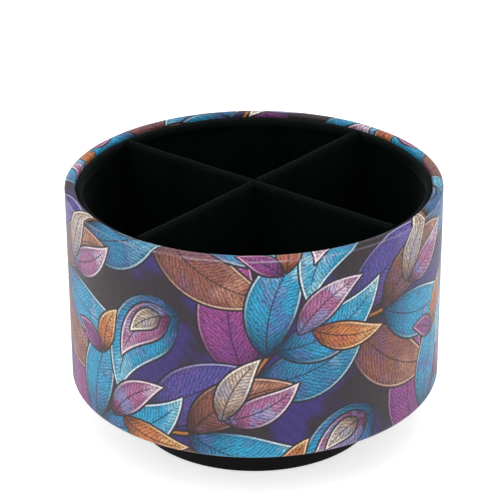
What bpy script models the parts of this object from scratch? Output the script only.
# Rotating pen holder: a round cup with four compartments on a ball-bearing turntable.
# Blender 4.5. Metres, +Z up, origin on the table at the turning axis.
# The cup is a board tube on a board disc, wrapped in printed imitation leather and lined
# with velvet. Two half-lapped divider boards in velvet covers cross on the axis, along X and Y.
# The turntable is two moulded discs with a caged ring of steel balls between them.

import math

import bmesh
import bpy
from mathutils import Matrix, Vector

# Clearances and facets
SEAT_GAP = 0.0003  # between pieces that touch or are glued together
CUT_OVERRUN = 0.002  # how far a cutter runs past the face it cuts
MERGE_DISTANCE = 0.000005
CUP_SIDES = 56
DISC_SIDES = 40
SMALL_SIDES = 16
SCREW_SIDES = 10
SMOOTH_ANGLE = math.radians(35)

# Cup
CUP_RADIUS = 0.0750
CUP_HEIGHT = 0.0846  # from the underside of the turned-under hem to the top of the rim
COVER_THICK = 0.0008
WALL_BOARD_THICK = 0.0021
RIM_RADIUS = 0.0015  # rounding of the wrapped rim
FOOT_CORNER_RADIUS = 0.0025  # rounding of the wrapped lower edge
HEM_WIDTH = 0.0115  # leather glued to the underside
RETURN_HEIGHT = 0.0120  # leather glued down inside the mouth
SEAM_GAP = 0.0004  # open width of the butt seams at the back
SEAM_TURN = math.radians(135)  # the seams close in the quarter that faces away in use
BOTTOM_BOARD_THICK = 0.0063
TUBE_REBATE = 0.0020  # step that locates the tube on the bottom board
LINING_THICK = 0.0013
LINING_DROP = 0.0014  # lining's top edge below the rim
LINING_EDGE_RADIUS = 0.0004
FLOOR_LINING_THICK = 0.0012
BOTTOM_COVER_THICK = 0.0008
BOTTOM_COVER_INSET = 0.0045  # hem left bare round it

# Dividers
DIVIDER_BOARD_THICK = 0.0018
DIVIDER_COVER_THICK = 0.0006
DIVIDER_DROP = 0.0010  # divider's top edge below the rim
DIVIDER_EDGE_RADIUS = 0.0015

# Turntable discs
DISC_RADIUS = 0.0495
UPPER_DISC_INSET = 0.0015
LOWER_DISC_HEIGHT = 0.0112
DISC_SKIRT_WALL = 0.0022
DISC_DRAFT = 0.0003  # the skirt leans in by this much over its height
DISC_EDGE_RADIUS = 0.0010
DECK_THICK = 0.0022
DISC_PART_GAP = 0.0010  # open gap seen between the two discs
RIB_WALL = 0.0016
RIB_RECESS = 0.0008  # ribs stop this far above the skirt's lower edge
RADIAL_RIBS = 8
RING_RIBS = 2
UPPER_RIB_PLACE_SHARE = 0.37  # the upper disc's ring rib, from its hub out to its track
UPPER_RIB_DROP = 0.0030  # how far that rib stands below its deck

# Ball race
BALL_RADIUS = 0.0025
TRACK_INSET = 0.0155  # from the lower disc's edge in to the balls' middle
BALL_COUNT = 12
BALL_PLAY = 0.0002
BALL_RINGS = 6
BALL_SEGMENTS = 8
TRACK_FLOOR = 0.00015  # plastic left under the groove, above the deck
TRACK_RISE = 0.0015
TRACK_LAND = 0.0011  # flat beside the groove
CAGE_THICK = 0.0015
CAGE_WALL = 0.0010  # web left inside and outside the balls

# Centre pivot
HUB_RADIUS = 0.0060
COLLAR_WALL = 0.0038
COLLAR_RISE = 0.0012
COLLAR_DEPTH = 0.0030  # collar below the deck
PIVOT_PLAY = 0.0002  # the hub stands below the collar, so the washer leaves it free
WASHER_RADIUS = 0.0090
WASHER_THICK = 0.0010
CENTRE_SCREW_RADIUS = 0.0015
CENTRE_SCREW_LENGTH = 0.0110
CENTRE_HEAD_RADIUS = 0.0036
CENTRE_HEAD_HEIGHT = 0.0018

# Screws that hold the upper disc to the cup
DISC_SCREW_COUNT = 4
DISC_SCREW_RADIUS = 0.0016
DISC_SCREW_BITE = 0.0050  # how far they reach into the bottom board
DISC_HEAD_RADIUS = 0.0030
DISC_HEAD_HEIGHT = 0.0016
HEAD_EDGE_RADIUS = 0.0006

# Feet
FOOT_COUNT = 4
FOOT_RADIUS = 0.0045
FOOT_THICK = 0.0020
FOOT_STAND = 0.0008  # how far a foot stands below the skirt
FOOT_BOSS_WALL = 0.0011
FOOT_EDGE_RADIUS = 0.0004

# Heights, from the table up
SKIRT_FOOT_Z = FOOT_STAND
LOWER_DECK_TOP = SKIRT_FOOT_Z + LOWER_DISC_HEIGHT
LOWER_DECK_FOOT = LOWER_DECK_TOP - DECK_THICK
RIB_FOOT_Z = SKIRT_FOOT_Z + RIB_RECESS
BALL_Z = LOWER_DECK_TOP + TRACK_FLOOR + BALL_PLAY + BALL_RADIUS
UPPER_DECK_FOOT = BALL_Z + BALL_RADIUS + BALL_PLAY + TRACK_FLOOR
UPPER_DECK_TOP = UPPER_DECK_FOOT + DECK_THICK
BOTTOM_COVER_FOOT = UPPER_DECK_TOP + SEAT_GAP
BOTTOM_COVER_TOP = BOTTOM_COVER_FOOT + BOTTOM_COVER_THICK
HEM_FOOT = BOTTOM_COVER_TOP + SEAT_GAP
HEM_TOP = HEM_FOOT + COVER_THICK
BOARD_RIM_FOOT = HEM_TOP + SEAT_GAP
BOARD_TOP = HEM_FOOT + BOTTOM_BOARD_THICK
TUBE_SEAT = BOARD_TOP - TUBE_REBATE
LINING_FOOT = BOARD_TOP + SEAT_GAP
FLOOR_TOP = LINING_FOOT + FLOOR_LINING_THICK
RIM_TOP = HEM_FOOT + CUP_HEIGHT
TUBE_TOP = RIM_TOP - COVER_THICK - SEAT_GAP
DIVIDER_FOOT = FLOOR_TOP + SEAT_GAP
DIVIDER_TOP = RIM_TOP - DIVIDER_DROP
COLLAR_FOOT = LOWER_DECK_FOOT - COLLAR_DEPTH
HUB_FOOT = COLLAR_FOOT - PIVOT_PLAY
WASHER_TOP = HUB_FOOT - SEAT_GAP
WASHER_FOOT = WASHER_TOP - WASHER_THICK

# Radii, from the outside of the cup in
TUBE_OUTER = CUP_RADIUS - COVER_THICK - SEAT_GAP
TUBE_INNER = TUBE_OUTER - WALL_BOARD_THICK
RETURN_OUTER = TUBE_INNER - SEAT_GAP
RETURN_INNER = RETURN_OUTER - COVER_THICK
LINING_OUTER = RETURN_INNER - SEAT_GAP
LINING_INNER = LINING_OUTER - LINING_THICK
FLOOR_RADIUS = LINING_INNER - SEAT_GAP
BOARD_STEP_RADIUS = TUBE_INNER - SEAT_GAP
HEM_INNER = CUP_RADIUS - HEM_WIDTH
BOTTOM_COVER_RADIUS = CUP_RADIUS - BOTTOM_COVER_INSET

# Radii of the turntable
BALL_CIRCLE = DISC_RADIUS - TRACK_INSET
TRACK_GROOVE_RADIUS = BALL_RADIUS + BALL_PLAY
GROOVE_HEIGHT = TRACK_GROOVE_RADIUS + TRACK_FLOOR - TRACK_RISE  # track's face to the balls' middle
TRACK_HALF = math.sqrt(TRACK_GROOVE_RADIUS ** 2 - GROOVE_HEIGHT ** 2) + TRACK_LAND
TRACK_OUTER = BALL_CIRCLE + TRACK_HALF
TRACK_INNER = BALL_CIRCLE - TRACK_HALF
UPPER_RIB_INNER = HUB_RADIUS + UPPER_RIB_PLACE_SHARE * (TRACK_INNER - HUB_RADIUS)
UPPER_RIB_OUTER = UPPER_RIB_INNER + RIB_WALL
DISC_SCREW_CIRCLE = (UPPER_RIB_OUTER + TRACK_INNER) / 2
COLLAR_BORE = HUB_RADIUS + SEAT_GAP
WELL_INNER = COLLAR_BORE + COLLAR_WALL
WELL_OUTER = WELL_INNER + RIB_WALL
SKIRT_INNER = DISC_RADIUS - DISC_SKIRT_WALL
RIB_PITCH = (SKIRT_INNER - WELL_OUTER) / (RING_RIBS + 1)
LAST_RIB_OUTER = WELL_OUTER + RING_RIBS * RIB_PITCH
FOOT_CIRCLE = (LAST_RIB_OUTER + SKIRT_INNER) / 2
FOOT_SEAT_RADIUS = FOOT_RADIUS + SEAT_GAP
FOOT_TURN = math.pi / RADIAL_RIBS  # feet and disc screws stand midway between two ribs
DISC_HOLE_RADIUS = DISC_SCREW_RADIUS + SEAT_GAP
CENTRE_HOLE_RADIUS = CENTRE_SCREW_RADIUS + SEAT_GAP
PILOT_TOP = HEM_FOOT + DISC_SCREW_BITE + SEAT_GAP

# Dividers
DIVIDER_THICK = DIVIDER_BOARD_THICK + 2 * (SEAT_GAP + DIVIDER_COVER_THICK)
DIVIDER_SPAN = 2 * math.sqrt((LINING_INNER - SEAT_GAP) ** 2 - (DIVIDER_THICK / 2) ** 2)
LAP_HEIGHT = (DIVIDER_FOOT + DIVIDER_TOP) / 2
LAP_WIDTH = DIVIDER_THICK + 2 * SEAT_GAP


# Helpers

def clear_scene():
    for obj in list(bpy.data.objects):
        bpy.data.objects.remove(obj, do_unlink=True)


def material(name, colour, roughness, metallic=0.0):
    """A plain finish. colour is linear red, green and blue."""
    made = bpy.data.materials.new(name)
    made.use_nodes = True
    shader = made.node_tree.nodes["Principled BSDF"]
    shader.inputs["Base Color"].default_value = (*colour, 1.0)
    shader.inputs["Roughness"].default_value = roughness
    shader.inputs["Metallic"].default_value = metallic
    made.diffuse_color = (*colour, 1.0)
    return made


def add_object(name, bm, finish=None, body=None):
    """Turns a bmesh into a named object that rides on an empty."""
    bmesh.ops.recalc_face_normals(bm, faces=bm.faces)
    mesh = bpy.data.meshes.new(name)
    bm.to_mesh(mesh)
    bm.free()
    mesh.shade_smooth()
    mesh.set_sharp_from_angle(angle=SMOOTH_ANGLE)
    obj = bpy.data.objects.new(name, mesh)
    bpy.context.scene.collection.objects.link(obj)
    if finish is not None:
        mesh.materials.append(finish)
    obj.parent = body
    return obj


def add_cutter(name, bm):
    """A helper that a Boolean reads and that is never drawn."""
    obj = add_object(name, bm)
    obj.hide_render = True
    obj.display_type = "WIRE"
    return obj


def boolean(obj, tool, operation):
    step = obj.modifiers.new(operation.lower() + "_" + tool.name, "BOOLEAN")
    step.operation = operation
    step.object = tool
    step.solver = "EXACT"


def rounded(corners):
    """Outline points from corners (x, z, fillet radius, fillet steps)."""
    points = []
    count = len(corners)
    for index, (x, z, radius, steps) in enumerate(corners):
        here = Vector((x, z))
        if radius <= 0:
            points.append(here)
            continue
        before = (Vector(corners[index - 1][:2]) - here).normalized()
        after = (Vector(corners[(index + 1) % count][:2]) - here).normalized()
        half = before.angle(after) / 2
        centre = here + (before + after).normalized() * (radius / math.sin(half))
        start = here + before * (radius / math.tan(half)) - centre
        end = here + after * (radius / math.tan(half)) - centre
        sweep = start.angle_signed(end)
        for step in range(steps + 1):
            turn = Matrix.Rotation(-sweep * step / steps, 2)
            points.append(centre + turn @ start)
    return points


def turned(outline, sides, sweep=2 * math.pi, start=0.0, closed=True):
    """A bmesh turned about Z from an outline of (radius, height) points."""
    bm = bmesh.new()
    turn = Matrix.Rotation(start, 4, "Z")
    verts = [bm.verts.new(turn @ Vector((p[0], 0, p[1]))) for p in outline]
    pairs = list(zip(verts, verts[1:]))
    if closed:
        pairs.append((verts[-1], verts[0]))
    edges = [bm.edges.new(pair) for pair in pairs]
    full = sweep >= 2 * math.pi
    bmesh.ops.spin(
        bm, geom=verts + edges, cent=(0, 0, 0), axis=(0, 0, 1),
        angle=sweep, steps=sides, use_merge=full,
    )
    bmesh.ops.remove_doubles(bm, verts=bm.verts, dist=MERGE_DISTANCE)
    if not full:
        bmesh.ops.holes_fill(bm, edges=[e for e in bm.edges if e.is_boundary])
    return bm


def disc(radius, foot, top):
    """A solid round plate."""
    return turned([(0, top), (radius, top), (radius, foot), (0, foot)], CUP_SIDES, closed=False)


def add_cylinder(bm, radius, foot, top, sides, x=0.0, y=0.0):
    bmesh.ops.create_cone(
        bm, cap_ends=True, segments=sides, radius1=radius, radius2=radius, depth=top - foot,
        matrix=Matrix.Translation((x, y, (foot + top) / 2)),
    )


def add_box(bm, size, centre, turn=0.0):
    spin = Matrix.Rotation(turn, 4, "Z")
    place = spin @ Matrix.Translation(centre) @ Matrix.Diagonal((*size, 1.0))
    bmesh.ops.create_cube(bm, size=1.0, matrix=place)


def around(count, circle, offset=0.0):
    """Places on a circle, as (angle, x, y)."""
    for index in range(count):
        angle = offset + 2 * math.pi * index / count
        yield angle, circle * math.cos(angle), circle * math.sin(angle)


def repeat_around(obj, count, circle, offset=0.0):
    """Stands linked copies of obj on a circle and numbers them all."""
    stem = obj.name
    digits = len(str(count))
    for index, (angle, x, y) in enumerate(around(count, circle, offset), 1):
        copy = obj if index == 1 else obj.copy()
        if index > 1:
            bpy.context.scene.collection.objects.link(copy)
        copy.name = f"{stem}_{index:0{digits}d}"
        copy.location = (x, y, obj.location.z)
        copy.rotation_euler.z = angle


def extruded(outline, length):
    """A bmesh of an outline in Y and Z, drawn out along X and centred on the axis."""
    bm = bmesh.new()
    face = bm.faces.new([bm.verts.new((-length / 2, p[0], p[1])) for p in outline])
    grown = bmesh.ops.extrude_face_region(bm, geom=[face])
    moved = [v for v in grown["geom"] if isinstance(v, bmesh.types.BMVert)]
    bmesh.ops.translate(bm, verts=moved, vec=(length, 0, 0))
    return bm


# Turntable

def make_lower_disc(finish, body):
    """Moulded disc that stays still: skirt, deck, ball track, pivot collar, ribs and foot bosses."""
    track_top = LOWER_DECK_TOP + TRACK_RISE
    corners = [
        (DISC_RADIUS, SKIRT_FOOT_Z, 0, 1),
        (DISC_RADIUS - DISC_DRAFT, LOWER_DECK_TOP, DISC_EDGE_RADIUS, 2),
        (TRACK_OUTER, LOWER_DECK_TOP, 0, 1),
        (TRACK_OUTER, track_top, 0, 1),
        *[(r, z, 0, 1) for r, z in groove_arc(-1)],
        (TRACK_INNER, track_top, 0, 1),
        (TRACK_INNER, LOWER_DECK_TOP, 0, 1),
        (WELL_INNER, LOWER_DECK_TOP, 0, 1),
        (WELL_INNER, LOWER_DECK_TOP + COLLAR_RISE, 0, 1),
        (COLLAR_BORE, LOWER_DECK_TOP + COLLAR_RISE, 0, 1),
        (COLLAR_BORE, COLLAR_FOOT, 0, 1),
        (WELL_INNER, COLLAR_FOOT, 0, 1),
        (WELL_INNER, RIB_FOOT_Z, 0, 1),
        (WELL_OUTER, RIB_FOOT_Z, 0, 1),
        (WELL_OUTER, LOWER_DECK_FOOT, 0, 1),
    ]
    for ring in range(1, RING_RIBS + 1):
        outer = WELL_OUTER + ring * RIB_PITCH
        inner = outer - RIB_WALL
        corners += [
            (inner, LOWER_DECK_FOOT, 0, 1), (inner, RIB_FOOT_Z, 0, 1),
            (outer, RIB_FOOT_Z, 0, 1), (outer, LOWER_DECK_FOOT, 0, 1),
        ]
    corners += [(SKIRT_INNER, LOWER_DECK_FOOT, 0, 1), (SKIRT_INNER, SKIRT_FOOT_Z, 0, 1)]
    shell = add_object("turntable_lower", turned(rounded(corners), DISC_SIDES), finish, body)

    # Radial ribs run from inside the well's wall to inside the skirt's
    rib_start = WELL_OUTER - RIB_WALL / 2
    rib_end = SKIRT_INNER + DISC_SKIRT_WALL / 2
    rib_top = LOWER_DECK_FOOT + DECK_THICK / 2
    bm = bmesh.new()
    for angle, _, _ in around(RADIAL_RIBS, 0):
        size = (rib_end - rib_start, RIB_WALL, rib_top - RIB_FOOT_Z)
        add_box(bm, size, ((rib_start + rib_end) / 2, 0, (rib_top + RIB_FOOT_Z) / 2), angle)
    boolean(shell, add_cutter("radial_ribs", bm), "UNION")

    # Bosses that the rubber feet are let into
    bosses, seats = bmesh.new(), bmesh.new()
    for _, x, y in around(FOOT_COUNT, FOOT_CIRCLE, FOOT_TURN):
        add_cylinder(bosses, FOOT_SEAT_RADIUS + FOOT_BOSS_WALL, SKIRT_FOOT_Z, rib_top, SMALL_SIDES, x, y)
        add_cylinder(seats, FOOT_SEAT_RADIUS, -CUT_OVERRUN, FOOT_THICK + SEAT_GAP, SMALL_SIDES, x, y)
    boolean(shell, add_cutter("foot_bosses", bosses), "UNION")
    boolean(shell, add_cutter("foot_seats", seats), "DIFFERENCE")


def groove_arc(side, steps=4):
    """Ball groove from its outer lip to its inner one. side is -1 in the lower disc, 1 in the upper."""
    reach = math.acos(GROOVE_HEIGHT / TRACK_GROOVE_RADIUS)
    points = []
    for step in range(steps + 1):
        angle = reach * (1 - 2 * step / steps)
        radius = BALL_CIRCLE + TRACK_GROOVE_RADIUS * math.sin(angle)
        points.append((radius, BALL_Z + side * TRACK_GROOVE_RADIUS * math.cos(angle)))
    return points


def make_feet(finish, body):
    corners = [
        (0, FOOT_THICK, 0, 1), (FOOT_RADIUS, FOOT_THICK, 0, 1),
        (FOOT_RADIUS, 0, FOOT_EDGE_RADIUS, 2), (0, 0, 0, 1),
    ]
    foot = add_object("foot_pad", turned(rounded(corners), SMALL_SIDES, closed=False), finish, body)
    repeat_around(foot, FOOT_COUNT, FOOT_CIRCLE, FOOT_TURN)


def make_cage(finish, body):
    """Flat nylon ring with a round pocket for each ball."""
    reach = BALL_RADIUS + SEAT_GAP + CAGE_WALL
    foot, top = BALL_Z - CAGE_THICK / 2, BALL_Z + CAGE_THICK / 2
    outline = [
        (BALL_CIRCLE + reach, foot), (BALL_CIRCLE + reach, top),
        (BALL_CIRCLE - reach, top), (BALL_CIRCLE - reach, foot),
    ]
    cage = add_object("ball_cage", turned(outline, DISC_SIDES), finish, body)
    pockets = bmesh.new()
    low, high = foot - CUT_OVERRUN, top + CUT_OVERRUN
    for _, x, y in around(BALL_COUNT, BALL_CIRCLE):
        add_cylinder(pockets, BALL_RADIUS + SEAT_GAP, low, high, SCREW_SIDES, x, y)
    boolean(cage, add_cutter("cage_pockets", pockets), "DIFFERENCE")


def make_balls(finish, body):
    bm = bmesh.new()
    bmesh.ops.create_uvsphere(bm, u_segments=BALL_SEGMENTS, v_segments=BALL_RINGS, radius=BALL_RADIUS)
    ball = add_object("bearing_ball", bm, finish, body)
    ball.location.z = BALL_Z
    repeat_around(ball, BALL_COUNT, BALL_CIRCLE)


def make_upper_disc(finish, body, holes):
    """Moulded disc that turns with the cup: deck, skirt, ball track and pivot hub."""
    track_foot = UPPER_DECK_FOOT - TRACK_RISE
    outer = DISC_RADIUS - UPPER_DISC_INSET
    skirt_foot = LOWER_DECK_TOP + DISC_PART_GAP
    hole_top = WASHER_FOOT + CENTRE_SCREW_LENGTH + SEAT_GAP
    rib_foot = UPPER_DECK_FOOT - UPPER_RIB_DROP
    corners = [
        (0, UPPER_DECK_TOP, 0, 1),
        (outer - DISC_DRAFT, UPPER_DECK_TOP, DISC_EDGE_RADIUS, 2),
        (outer, skirt_foot, 0, 1),
        (outer - DISC_SKIRT_WALL, skirt_foot, 0, 1),
        (outer - DISC_SKIRT_WALL, UPPER_DECK_FOOT, 0, 1),
        (TRACK_OUTER, UPPER_DECK_FOOT, 0, 1),
        (TRACK_OUTER, track_foot, 0, 1),
        *[(r, z, 0, 1) for r, z in groove_arc(1)],
        (TRACK_INNER, track_foot, 0, 1),
        (TRACK_INNER, UPPER_DECK_FOOT, 0, 1),
        (UPPER_RIB_OUTER, UPPER_DECK_FOOT, 0, 1),
        (UPPER_RIB_OUTER, rib_foot, 0, 1),
        (UPPER_RIB_INNER, rib_foot, 0, 1),
        (UPPER_RIB_INNER, UPPER_DECK_FOOT, 0, 1),
        (HUB_RADIUS, UPPER_DECK_FOOT, 0, 1),
        (HUB_RADIUS, HUB_FOOT, 0, 1),
        (CENTRE_HOLE_RADIUS, HUB_FOOT, 0, 1),
        (CENTRE_HOLE_RADIUS, hole_top, 0, 1),
        (0, hole_top, 0, 1),
    ]
    bm = turned(rounded(corners), DISC_SIDES, closed=False)
    shell = add_object("turntable_upper", bm, finish, body)
    boolean(shell, holes, "DIFFERENCE")


def make_centre_pivot(steel, body):
    """Washer and screw that hang the lower disc on the hub."""
    outline = [
        (WASHER_RADIUS, WASHER_FOOT), (WASHER_RADIUS, WASHER_TOP),
        (CENTRE_HOLE_RADIUS, WASHER_TOP), (CENTRE_HOLE_RADIUS, WASHER_FOOT),
    ]
    add_object("centre_washer", turned(outline, SMALL_SIDES), steel, body)
    tip = WASHER_FOOT + CENTRE_SCREW_LENGTH
    seat = WASHER_FOOT - SEAT_GAP
    bm = pan_screw(CENTRE_SCREW_RADIUS, tip, CENTRE_HEAD_RADIUS, seat, CENTRE_HEAD_HEIGHT)
    add_object("centre_screw", bm, steel, body)


def pan_screw(radius, tip, head_radius, seat, head_height):
    """Pan-head screw that points up, with a short conical tip. The head hangs below its seat."""
    corners = [
        (0, tip, 0, 1), (radius, tip - radius, 0, 1), (radius, seat, 0, 1), (head_radius, seat, 0, 1),
        (head_radius, seat - head_height, HEAD_EDGE_RADIUS, 2), (0, seat - head_height, 0, 1),
    ]
    return turned(rounded(corners), SCREW_SIDES, closed=False)


def make_disc_screws(steel, body):
    """Four wood screws from the upper disc into the bottom board."""
    tip = HEM_FOOT + DISC_SCREW_BITE
    seat = UPPER_DECK_FOOT - SEAT_GAP
    bm = pan_screw(DISC_SCREW_RADIUS, tip, DISC_HEAD_RADIUS, seat, DISC_HEAD_HEIGHT)
    screw = add_object("disc_screw", bm, steel, body)
    repeat_around(screw, DISC_SCREW_COUNT, DISC_SCREW_CIRCLE, FOOT_TURN)


def screw_hole_cutter():
    """One cutter for the disc screws' holes in the upper disc, the bottom cover and the bottom board."""
    bm = bmesh.new()
    foot = UPPER_DECK_FOOT - CUT_OVERRUN
    for _, x, y in around(DISC_SCREW_COUNT, DISC_SCREW_CIRCLE, FOOT_TURN):
        add_cylinder(bm, DISC_HOLE_RADIUS, foot, PILOT_TOP, SCREW_SIDES, x, y)
    return add_cutter("screw_holes", bm)


# Cup

def make_bottom_cover(finish, body, holes):
    """Black disc glued under the cup, over the leather's hem."""
    bm = disc(BOTTOM_COVER_RADIUS, BOTTOM_COVER_FOOT, BOTTOM_COVER_TOP)
    cover = add_object("bottom_cover", bm, finish, body)
    boolean(cover, holes, "DIFFERENCE")


def make_bottom_board(finish, body, holes):
    """Board disc: thick in the middle, let in below for the hem and above for the tube."""
    corner = FOOT_CORNER_RADIUS - COVER_THICK - SEAT_GAP
    hem_step = HEM_INNER - SEAT_GAP
    corners = [
        (0, BOARD_TOP, 0, 1),
        (BOARD_STEP_RADIUS, BOARD_TOP, 0, 1),
        (BOARD_STEP_RADIUS, TUBE_SEAT, 0, 1),
        (TUBE_OUTER, TUBE_SEAT, 0, 1),
        (TUBE_OUTER, BOARD_RIM_FOOT, corner, 2),
        (hem_step, BOARD_RIM_FOOT, 0, 1),
        (hem_step, HEM_FOOT, 0, 1),
        (0, HEM_FOOT, 0, 1),
    ]
    board = add_object("bottom_board", turned(rounded(corners), CUP_SIDES, closed=False), finish, body)
    boolean(board, holes, "DIFFERENCE")


def make_wall_board(finish, body):
    """Paperboard tube that stands in the bottom board's rebate."""
    edge = RIM_RADIUS - COVER_THICK - SEAT_GAP
    corners = [
        (TUBE_OUTER, TUBE_SEAT + SEAT_GAP, 0, 1), (TUBE_OUTER, TUBE_TOP, edge, 2),
        (TUBE_INNER, TUBE_TOP, edge, 2), (TUBE_INNER, TUBE_SEAT + SEAT_GAP, 0, 1),
    ]
    add_object("wall_board", turned(rounded(corners), CUP_SIDES), finish, body)


def make_outer_cover(finish, body):
    """One strip of printed imitation leather, hemmed under the foot and turned in over the rim."""
    lip_foot = RIM_TOP - RETURN_HEIGHT
    inner_corner = FOOT_CORNER_RADIUS - COVER_THICK
    inner_rim = RIM_RADIUS - COVER_THICK
    skin = CUP_RADIUS - COVER_THICK
    corners = [
        (HEM_INNER, HEM_FOOT, 0, 1),
        (CUP_RADIUS, HEM_FOOT, FOOT_CORNER_RADIUS, 3),
        (CUP_RADIUS, RIM_TOP, RIM_RADIUS, 3),
        (RETURN_INNER, RIM_TOP, RIM_RADIUS, 3),
        (RETURN_INNER, lip_foot, 0, 1),
        (RETURN_OUTER, lip_foot, 0, 1),
        (RETURN_OUTER, RIM_TOP - COVER_THICK, inner_rim, 2),
        (skin, RIM_TOP - COVER_THICK, inner_rim, 2),
        (skin, HEM_TOP, inner_corner, 2),
        (HEM_INNER, HEM_TOP, 0, 1),
    ]
    slit = SEAM_GAP / CUP_RADIUS
    bm = turned(rounded(corners), CUP_SIDES, 2 * math.pi - slit, SEAM_TURN + slit / 2)
    add_object("outer_cover", bm, finish, body)


def make_wall_lining(finish, body):
    """Velvet on card, rolled into the mouth, with its seam in line with the cover's."""
    top = RIM_TOP - LINING_DROP
    corners = [
        (LINING_OUTER, LINING_FOOT, 0, 1), (LINING_OUTER, top, LINING_EDGE_RADIUS, 1),
        (LINING_INNER, top, LINING_EDGE_RADIUS, 2), (LINING_INNER, LINING_FOOT, 0, 1),
    ]
    slit = SEAM_GAP / LINING_INNER
    bm = turned(rounded(corners), CUP_SIDES, 2 * math.pi - slit, SEAM_TURN + slit / 2)
    add_object("wall_lining", bm, finish, body)


def make_floor_lining(finish, body):
    add_object("floor_lining", disc(FLOOR_RADIUS, LINING_FOOT, FLOOR_TOP), finish, body)


def make_divider(letter, turn, lap_foot, lap_top, board_finish, cover_finish, body):
    """One divider: a slotted board in a velvet cover that is open along its lower edge."""
    half = DIVIDER_THICK / 2
    cover_outline = rounded([
        (half, DIVIDER_FOOT, 0, 1), (half, DIVIDER_TOP, DIVIDER_EDGE_RADIUS, 4),
        (-half, DIVIDER_TOP, DIVIDER_EDGE_RADIUS, 4), (-half, DIVIDER_FOOT, 0, 1),
    ])
    cover = add_object("divider_cover_" + letter, extruded(cover_outline, DIVIDER_SPAN), cover_finish, body)
    inside = half - DIVIDER_COVER_THICK
    pocket_top = DIVIDER_TOP - DIVIDER_COVER_THICK
    pocket_edge = DIVIDER_EDGE_RADIUS - DIVIDER_COVER_THICK
    pocket_foot = DIVIDER_FOOT - CUT_OVERRUN
    pocket_outline = rounded([
        (inside, pocket_foot, 0, 1), (inside, pocket_top, pocket_edge, 2),
        (-inside, pocket_top, pocket_edge, 2), (-inside, pocket_foot, 0, 1),
    ])
    pocket = extruded(pocket_outline, DIVIDER_SPAN - 2 * DIVIDER_COVER_THICK)
    boolean(cover, add_cutter("divider_pocket_" + letter, pocket), "DIFFERENCE")

    board_half = DIVIDER_BOARD_THICK / 2
    board_edge = pocket_edge - SEAT_GAP
    board_top = pocket_top - SEAT_GAP
    board_outline = rounded([
        (board_half, DIVIDER_FOOT, 0, 1), (board_half, board_top, board_edge, 2),
        (-board_half, board_top, board_edge, 2), (-board_half, DIVIDER_FOOT, 0, 1),
    ])
    board_span = DIVIDER_SPAN - 2 * (DIVIDER_COVER_THICK + SEAT_GAP)
    board = add_object("divider_board_" + letter, extruded(board_outline, board_span), board_finish, body)

    slot = bmesh.new()
    size = (LAP_WIDTH, DIVIDER_THICK + 2 * CUT_OVERRUN, lap_top - lap_foot)
    add_box(slot, size, (0, 0, (lap_foot + lap_top) / 2))
    slot_cutter = add_cutter("lap_slot_" + letter, slot)
    for piece in (cover, board):
        boolean(piece, slot_cutter, "DIFFERENCE")
    for piece in (cover, board, slot_cutter, bpy.data.objects["divider_pocket_" + letter]):
        piece.rotation_euler = (0, 0, turn)


def add_body(name, parent=None):
    """Empty on the turning axis that a moving group hangs on."""
    empty = bpy.data.objects.new(name, None)
    bpy.context.scene.collection.objects.link(empty)
    empty.parent = parent
    return empty


def main():
    clear_scene()
    printed = material("printed_leather", (0.16, 0.10, 0.22), 0.45)
    velvet = material("black_velvet", (0.006, 0.006, 0.007), 0.95)
    black_cloth = material("black_backing", (0.010, 0.010, 0.011), 0.85)
    fibreboard = material("fibreboard", (0.35, 0.23, 0.13), 0.80)
    paperboard = material("paperboard", (0.38, 0.34, 0.28), 0.85)
    black_abs = material("black_abs", (0.012, 0.012, 0.013), 0.40)
    rubber = material("rubber", (0.020, 0.020, 0.021), 0.75)
    nylon = material("nylon", (0.65, 0.63, 0.58), 0.45)
    steel = material("steel", (0.55, 0.55, 0.56), 0.25, 1.0)

    base = add_body("base")
    race = add_body("ball_race", base)
    cup = add_body("cup", base)

    make_lower_disc(black_abs, base)
    make_feet(rubber, base)
    make_cage(nylon, race)
    make_balls(steel, race)

    holes = screw_hole_cutter()
    make_upper_disc(black_abs, cup, holes)
    make_centre_pivot(steel, cup)
    make_disc_screws(steel, cup)
    make_bottom_cover(black_cloth, cup, holes)
    make_bottom_board(fibreboard, cup, holes)
    make_wall_board(paperboard, cup)
    make_outer_cover(printed, cup)
    make_wall_lining(velvet, cup)
    make_floor_lining(velvet, cup)

    # Divider a lies along X and is whole at its top edge. Divider b lies along Y, and a drops over it
    below, above = DIVIDER_FOOT - CUT_OVERRUN, DIVIDER_TOP + CUT_OVERRUN
    make_divider("a", 0.0, below, LAP_HEIGHT + SEAT_GAP / 2, fibreboard, velvet, cup)
    make_divider("b", math.pi / 2, LAP_HEIGHT - SEAT_GAP / 2, above, fibreboard, velvet, cup)


main()
